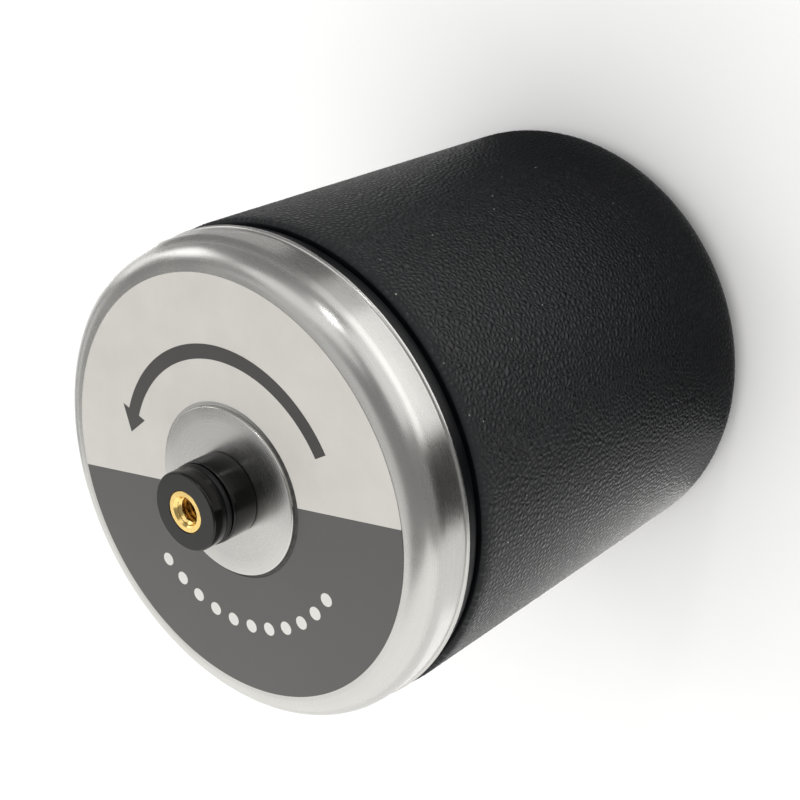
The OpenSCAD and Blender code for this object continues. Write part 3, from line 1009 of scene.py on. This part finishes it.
def make_camera(settings):
    """Camera that looks down on the lid, rolled so that the barrel lies on its side."""
    stage = settings.stage
    data = bpy.data.cameras.new("camera")
    data.lens = stage.lens
    data.sensor_width = 36
    data.clip_start = 0.01
    camera = bpy.data.objects.new("camera", data)
    bpy.context.scene.collection.objects.link(camera)
    flat = math.cos(stage.elevation)
    back = Vector((flat * math.cos(stage.azimuth), flat * math.sin(stage.azimuth),
                   math.sin(stage.elevation)))
    level = (-back).to_track_quat("-Z", "Y").to_matrix().to_4x4()
    place_at = Matrix.Translation(Vector(stage.aim) + back * stage.distance)
    camera.matrix_world = place_at @ level @ Matrix.Rotation(stage.roll, 4, "Z")
    bpy.context.scene.camera = camera


def softbox(name, azimuth, elevation, distance, width, height, radiance, tone=(1, 1, 1)):
    """Evenly bright panel that faces the barrel from a direction given in degrees."""
    data = bpy.data.lights.new(name, "AREA")
    data.shape = "RECTANGLE"
    data.size = width
    data.size_y = height
    data.energy = radiance * math.pi * width * height
    data.color = tone
    light = bpy.data.objects.new(name, data)
    bpy.context.scene.collection.objects.link(light)
    turned, raised = math.radians(azimuth), math.radians(elevation)
    away = Vector((math.cos(turned) * math.cos(raised), math.sin(turned) * math.cos(raised),
                   math.sin(raised)))
    middle = Vector((0, 0, 0.07))
    light.location = middle + away * distance
    light.rotation_euler = away.to_track_quat("Z", "Y").to_euler()
    light.visible_camera = False
    return light


def add_card(name, inner, outer, start, end, **finish):
    """Sector of a ring just above the floor, between two angles in degrees.

    It shows in reflections only, as the dark and bright parts of a room do on satin metal.
    """
    points, faces = [], []
    steps = 24
    for i in range(steps + 1):
        angle = math.radians(start + (end - start) * i / steps)
        for radius in (inner, outer):
            points.append((radius * math.cos(angle), radius * math.sin(angle), 0.2 * MM))
        if i:
            faces.append([2 * i - 2, 2 * i - 1, 2 * i + 1, 2 * i])
    card = piece_from(name, points, faces)
    card.data.materials.append(new_material(name + "_card", **finish)[0])
    card.visible_camera = card.visible_diffuse = card.visible_shadow = False


def flag(name, grey, *area):
    """Dark card."""
    add_card(name, *area, Roughness=1.0, Specular_IOR_Level=0.0, Base_Color=(grey, grey, grey, 1))


def glow(name, radiance, *area):
    """Glowing card, like part of a light table under the barrel's dark side."""
    add_card(name, *area, Emission_Strength=radiance, Emission_Color=(1, 0.99, 0.97, 1))


def make_stage(settings):
    """Pale floor, soft lights and an even surround."""
    reach, level = 1.9, CAD_BOX[0][2] - 0.05 * MM
    corners = [(-reach, -reach, level), (reach, -reach, level), (reach, reach, level),
               (-reach, reach, level)]
    floor = piece_from("floor", corners, [[0, 1, 2, 3]])
    floor.data.materials.append(matt_floor(settings))
    # Panels: azimuth, elevation, distance, width, height and radiance
    softbox("light_main", 34, 12.5, 2.7, 2.2, 2.55, 0.9)
    softbox("light_key", 67, 29, 2.7, 0.3, 0.3, 18)
    softbox("light_top", 100, 57, 3.0, 2.7, 1.5, 0.95)
    softbox("light_back", 140, 25, 2.7, 0.9, 1.0, 2.0)
    softbox("light_side", 157, 12, 2.7, 0.8, 1.0, 1.2)
    softbox("light_low", -178, 16, 2.7, 1.0, 0.7, 0.7)
    softbox("light_far", -168, 62, 3.0, 1.8, 1.6, 0.5)
    softbox("light_bounce", -102, 0, 2.7, 11.6, 8.5, 1.06, (1, 0.985, 0.955))
    softbox("light_over", 0, 90, 3.0, 4.0, 4.0, 1.1).visible_glossy = False
    # Radii of the rings of cards round the barrel's foot
    foot, middle, apron = 59 * MM, 100 * MM, 163 * MM
    glow("glow_near", 2.35, foot, middle, -180, -52)
    glow("glow_side", 0.2, foot, apron, -52, -30)
    glow("glow_under", 1.35, middle, apron, -180, -72)
    glow("glow_front", 1.1, apron, 0.6, 8, 60)
    glow("glow_back", 4.0, 0.24, 0.38, 152, 168)
    flag("flag_near", 0.03, foot, apron, -30, 105)
    flag("flag_side", 0.06, apron, 1.2, -31, 4)
    flag("flag_back", 0.25, apron, 1.2, 78, 148)
    world = bpy.data.worlds.new("surround")
    bpy.context.scene.world = world
    world.use_nodes = True
    backdrop = world.node_tree.nodes["Background"]
    backdrop.inputs["Color"].default_value = (1, 1, 1, 1)
    sight = add(world.node_tree, "ShaderNodeLightPath").outputs["Is Camera Ray"]
    add(world.node_tree, "ShaderNodeMapRange", {"Value": sight, "To Min": 0.32, "To Max": 0.82},
        backdrop.inputs["Strength"])
    bpy.context.scene.view_settings.view_transform = "Standard"


# ---------------------------------------------------------------- operators and panel

def settings_of(context):
    """The settings that the panel shows."""
    return context.scene.tumbling_barrel


class BARREL_OT_camera(bpy.types.Operator):
    """Add the camera"""
    bl_idname = "tumbling_barrel.camera"
    bl_label = "Camera"

    def execute(self, context):
        make_camera(settings_of(context))
        return {"FINISHED"}


class BARREL_OT_stage(bpy.types.Operator):
    """Add the floor, the lights and the surround"""
    bl_idname = "tumbling_barrel.stage"
    bl_label = "Stage"

    def execute(self, context):
        make_stage(settings_of(context))
        return {"FINISHED"}


class BARREL_OT_barrel(bpy.types.Operator):
    """Build the moulded rubber barrel"""
    bl_idname = "tumbling_barrel.barrel"
    bl_label = "Barrel"

    def execute(self, context):
        make_barrel(settings_of(context))
        return {"FINISHED"}


class BARREL_OT_inner_lid(bpy.types.Operator):
    """Build the pressed inner lid"""
    bl_idname = "tumbling_barrel.inner_lid"
    bl_label = "Inner lid"

    def execute(self, context):
        make_inner_lid(settings_of(context))
        return {"FINISHED"}


class BARREL_OT_stud(bpy.types.Operator):
    """Build the stud with its gasket, washer, nut and seal"""
    bl_idname = "tumbling_barrel.stud"
    bl_label = "Stud"

    def execute(self, context):
        make_stud(settings_of(context))
        return {"FINISHED"}


class BARREL_OT_outer_lid(bpy.types.Operator):
    """Build the spun cap"""
    bl_idname = "tumbling_barrel.outer_lid"
    bl_label = "Outer lid"

    def execute(self, context):
        make_outer_lid(settings_of(context))
        return {"FINISHED"}


class BARREL_OT_label(bpy.types.Operator):
    """Build the two-tone label and its marks"""
    bl_idname = "tumbling_barrel.label"
    bl_label = "Label"

    def execute(self, context):
        make_label(settings_of(context))
        return {"FINISHED"}


class BARREL_OT_knob(bpy.types.Operator):
    """Build the knob with its washer, insert and ring"""
    bl_idname = "tumbling_barrel.knob"
    bl_label = "Knob"

    def execute(self, context):
        make_knob(settings_of(context))
        return {"FINISHED"}


class BARREL_PT_panel(bpy.types.Panel):
    """Sizes, colours and building steps"""
    bl_idname = "BARREL_PT_panel"
    bl_label = "Tumbling barrel"
    bl_space_type = "VIEW_3D"
    bl_region_type = "UI"
    bl_category = "Tumbling barrel"

    def draw(self, context):
        settings = settings_of(context)
        for operator in OPERATORS:
            self.layout.operator(operator.bl_idname)
        for name in settings.bl_rna.properties.keys():
            group = getattr(settings, name)
            if isinstance(group, bpy.types.PropertyGroup):
                box = self.layout.box()
                box.label(text=name.capitalize())
                for key in group.__annotations__:
                    box.prop(group, key)


GROUPS = (BarrelSizes, LidSizes, LabelSizes, StudSizes, KnobSizes, FinishColours, StageSettings,
          TumblingBarrel)
OPERATORS = (BARREL_OT_camera, BARREL_OT_stage, BARREL_OT_barrel, BARREL_OT_inner_lid,
             BARREL_OT_stud, BARREL_OT_outer_lid, BARREL_OT_label, BARREL_OT_knob)


def register():
    for item in GROUPS + OPERATORS + (BARREL_PT_panel,):
        bpy.utils.register_class(item)
    bpy.types.Scene.tumbling_barrel = bpy.props.PointerProperty(type=TumblingBarrel)


def unregister():
    del bpy.types.Scene.tumbling_barrel
    for item in reversed(GROUPS + OPERATORS + (BARREL_PT_panel,)):
        bpy.utils.unregister_class(item)


def main():
    register()
    bpy.ops.tumbling_barrel.camera()
    bpy.ops.tumbling_barrel.stage()
    bpy.ops.tumbling_barrel.barrel()
    bpy.ops.tumbling_barrel.inner_lid()
    bpy.ops.tumbling_barrel.stud()
    bpy.ops.tumbling_barrel.outer_lid()
    bpy.ops.tumbling_barrel.label()
    bpy.ops.tumbling_barrel.knob()


if __name__ == "__main__":
    main()
